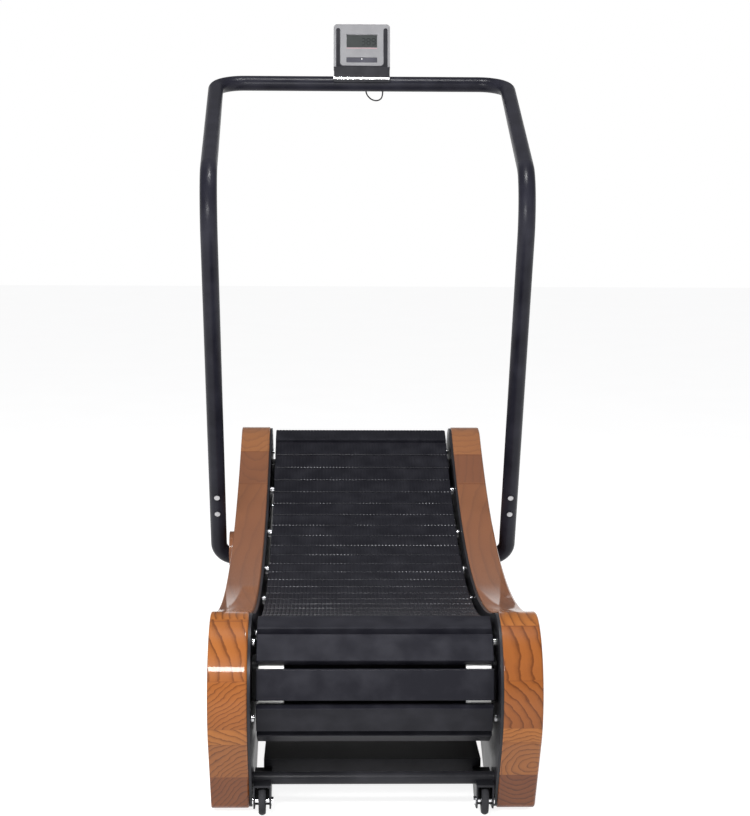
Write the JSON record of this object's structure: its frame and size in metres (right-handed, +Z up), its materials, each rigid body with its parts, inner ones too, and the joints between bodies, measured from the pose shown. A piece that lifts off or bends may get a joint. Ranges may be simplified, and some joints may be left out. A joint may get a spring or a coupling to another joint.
{
  "type": "curved manual treadmill",
  "caption": "Curved manual treadmill with laminated wood side panels, a ribbed slat belt, a bent tube handrail and a small tilting console.",
  "frame": {"origin": "centre of the bounding box on the floor", "axes": "+X to the right of a user facing the console, +Y forward to the console, +Z up"},
  "size_m": [0.7778, 1.7538, 1.5591],
  "materials": {
    "laminated_wood": "gloss lacquer over laminated hardwood",
    "black_steel": "satin powder coat",
    "slat_rubber": "fine ribbed, matte",
    "belt_urethane": "moulded polyurethane",
    "bolt_steel": "bright plated",
    "roller_steel": "ground",
    "pulley_aluminium": "machined",
    "block_iron": "cast, painted black",
    "wheel_rubber": "matte",
    "foot_rubber": "matte",
    "console_silver": "fine silver paint",
    "console_black": "fine texture",
    "display": "clear cover over grey display",
    "button_black": "fine texture",
    "circuit_green": "solder mask",
    "bright_trim": "polished",
    "cable_black": "flexible jacket"
  },
  "bodies": {
    "root": {"cable_grommets": "cable_black", "console_pivot_pin": "bolt_steel", "console_saddle": "console_black", "console_saddle_trim": "bright_trim", "front_bearing_blocks": "block_iron", "front_cross_tube": "black_steel", "front_turn_slats": "slat_rubber", "handrail": "black_steel", "handrail_bolts": "bolt_steel", "left_edge_belt": "belt_urethane", "left_front_foot": "foot_rubber", "left_handrail_foot": "black_steel", "left_handrail_spacer": "laminated_wood", "left_side_plate": "black_steel", "left_support_pins": "bolt_steel", "left_wheel_bracket": "black_steel", "left_wood_panel": "laminated_wood", "middle_cross_tube": "black_steel", "panel_bolts": "bolt_steel", "rear_bearing_blocks": "block_iron", "rear_cross_tube": "black_steel", "rear_turn_slats": "slat_rubber", "return_slats": "slat_rubber", "right_edge_belt": "belt_urethane", "right_front_foot": "foot_rubber", "right_handrail_foot": "black_steel", "right_side_plate": "black_steel", "right_support_pins": "bolt_steel", "right_wheel_bracket": "black_steel", "right_wood_panel": "laminated_wood", "running_slats": "slat_rubber", "sensor_cable": "cable_black", "wheel_angle_bar": "black_steel", "wheel_bolts": "bolt_steel"},
    "rear_roller": {"rear_roller_drum": "black_steel", "rear_belt_pulleys": "pulley_aluminium", "rear_roller_shaft": "roller_steel"},
    "front_roller": {"front_roller_drum": "black_steel", "front_belt_pulleys": "pulley_aluminium", "front_roller_shaft": "roller_steel"},
    "left_support_roller_1_body": {"left_support_roller_1": "roller_steel"},
    "left_support_roller_2_body": {"left_support_roller_2": "roller_steel"},
    "left_support_roller_3_body": {"left_support_roller_3": "roller_steel"},
    "left_support_roller_4_body": {"left_support_roller_4": "roller_steel"},
    "left_support_roller_5_body": {"left_support_roller_5": "roller_steel"},
    "left_support_roller_6_body": {"left_support_roller_6": "roller_steel"},
    "left_wheel": {"left_transport_wheel": "wheel_rubber"},
    "right_support_roller_1_body": {"right_support_roller_1": "roller_steel"},
    "right_support_roller_2_body": {"right_support_roller_2": "roller_steel"},
    "right_support_roller_3_body": {"right_support_roller_3": "roller_steel"},
    "right_support_roller_4_body": {"right_support_roller_4": "roller_steel"},
    "right_support_roller_5_body": {"right_support_roller_5": "roller_steel"},
    "right_support_roller_6_body": {"right_support_roller_6": "roller_steel"},
    "right_wheel": {"right_transport_wheel": "wheel_rubber"},
    "console": {"console_case": "console_black", "console_face": "console_silver", "console_display": "display", "console_circuit_board": "circuit_green"},
    "button": {"console_button": "button_black"}
  },
  "joints": [
    {"name": "rear_roller_spin", "type": "hinge", "parent": "root", "child": "rear_roller", "pos_m": [0, -0.72695, 0.253], "axis": [1, 0, 0], "continuous": true},
    {"name": "front_roller_spin", "type": "hinge", "parent": "root", "child": "front_roller", "pos_m": [0, 0.75005, 0.406], "axis": [1, 0, 0], "continuous": true},
    {"name": "left_support_roller_1_spin", "type": "hinge", "parent": "root", "child": "left_support_roller_1_body", "pos_m": [-0.19, -0.526, 0.28808], "axis": [1, 0, 0], "continuous": true},
    {"name": "left_support_roller_2_spin", "type": "hinge", "parent": "root", "child": "left_support_roller_2_body", "pos_m": [-0.19, -0.30927, 0.26344], "axis": [1, 0, 0], "continuous": true},
    {"name": "left_support_roller_3_spin", "type": "hinge", "parent": "root", "child": "left_support_roller_3_body", "pos_m": [-0.19, -0.09114, 0.26236], "axis": [1, 0, 0], "continuous": true},
    {"name": "left_support_roller_4_spin", "type": "hinge", "parent": "root", "child": "left_support_roller_4_body", "pos_m": [-0.19, 0.12582, 0.28483], "axis": [1, 0, 0], "continuous": true},
    {"name": "left_support_roller_5_spin", "type": "hinge", "parent": "root", "child": "left_support_roller_5_body", "pos_m": [-0.19, 0.3391, 0.33061], "axis": [1, 0, 0], "continuous": true},
    {"name": "left_support_roller_6_spin", "type": "hinge", "parent": "root", "child": "left_support_roller_6_body", "pos_m": [-0.19, 0.54618, 0.39915], "axis": [1, 0, 0], "continuous": true},
    {"name": "left_wheel_spin", "type": "hinge", "parent": "root", "child": "left_wheel", "pos_m": [-0.208, -0.75895, 0.027], "axis": [1, 0, 0], "continuous": true},
    {"name": "right_support_roller_1_spin", "type": "hinge", "parent": "root", "child": "right_support_roller_1_body", "pos_m": [0.19, -0.526, 0.28808], "axis": [1, 0, 0], "continuous": true},
    {"name": "right_support_roller_2_spin", "type": "hinge", "parent": "root", "child": "right_support_roller_2_body", "pos_m": [0.19, -0.30927, 0.26344], "axis": [1, 0, 0], "continuous": true},
    {"name": "right_support_roller_3_spin", "type": "hinge", "parent": "root", "child": "right_support_roller_3_body", "pos_m": [0.19, -0.09114, 0.26236], "axis": [1, 0, 0], "continuous": true},
    {"name": "right_support_roller_4_spin", "type": "hinge", "parent": "root", "child": "right_support_roller_4_body", "pos_m": [0.19, 0.12582, 0.28483], "axis": [1, 0, 0], "continuous": true},
    {"name": "right_support_roller_5_spin", "type": "hinge", "parent": "root", "child": "right_support_roller_5_body", "pos_m": [0.19, 0.3391, 0.33061], "axis": [1, 0, 0], "continuous": true},
    {"name": "right_support_roller_6_spin", "type": "hinge", "parent": "root", "child": "right_support_roller_6_body", "pos_m": [0.19, 0.54618, 0.39915], "axis": [1, 0, 0], "continuous": true},
    {"name": "right_wheel_spin", "type": "hinge", "parent": "root", "child": "right_wheel", "pos_m": [0.208, -0.75895, 0.027], "axis": [1, 0, 0], "continuous": true},
    {"name": "console_tilt", "type": "hinge", "parent": "root", "child": "console", "pos_m": [0, 0.84705, 1.44], "axis": [1, 0, 0], "range_deg": [-25, 5]},
    {"name": "button_press", "type": "slide", "parent": "console", "child": "button", "axis": [0, 0.9781, -0.2079], "range_m": [0, 0.001], "stiffness_N_per_m": 400}
  ],
  "couplings": [
    {"joint": "front_roller_spin", "follows": "rear_roller_spin", "ratio": 1},
    {"joint": "left_support_roller_1_spin", "follows": "rear_roller_spin", "ratio": 6.0187},
    {"joint": "left_support_roller_2_spin", "follows": "rear_roller_spin", "ratio": 6.0187},
    {"joint": "left_support_roller_3_spin", "follows": "rear_roller_spin", "ratio": 6.0187},
    {"joint": "left_support_roller_4_spin", "follows": "rear_roller_spin", "ratio": 6.0187},
    {"joint": "left_support_roller_5_spin", "follows": "rear_roller_spin", "ratio": 6.0187},
    {"joint": "left_support_roller_6_spin", "follows": "rear_roller_spin", "ratio": 6.0187},
    {"joint": "right_support_roller_1_spin", "follows": "rear_roller_spin", "ratio": 6.0187},
    {"joint": "right_support_roller_2_spin", "follows": "rear_roller_spin", "ratio": 6.0187},
    {"joint": "right_support_roller_3_spin", "follows": "rear_roller_spin", "ratio": 6.0187},
    {"joint": "right_support_roller_4_spin", "follows": "rear_roller_spin", "ratio": 6.0187},
    {"joint": "right_support_roller_5_spin", "follows": "rear_roller_spin", "ratio": 6.0187},
    {"joint": "right_support_roller_6_spin", "follows": "rear_roller_spin", "ratio": 6.0187}
  ]
}
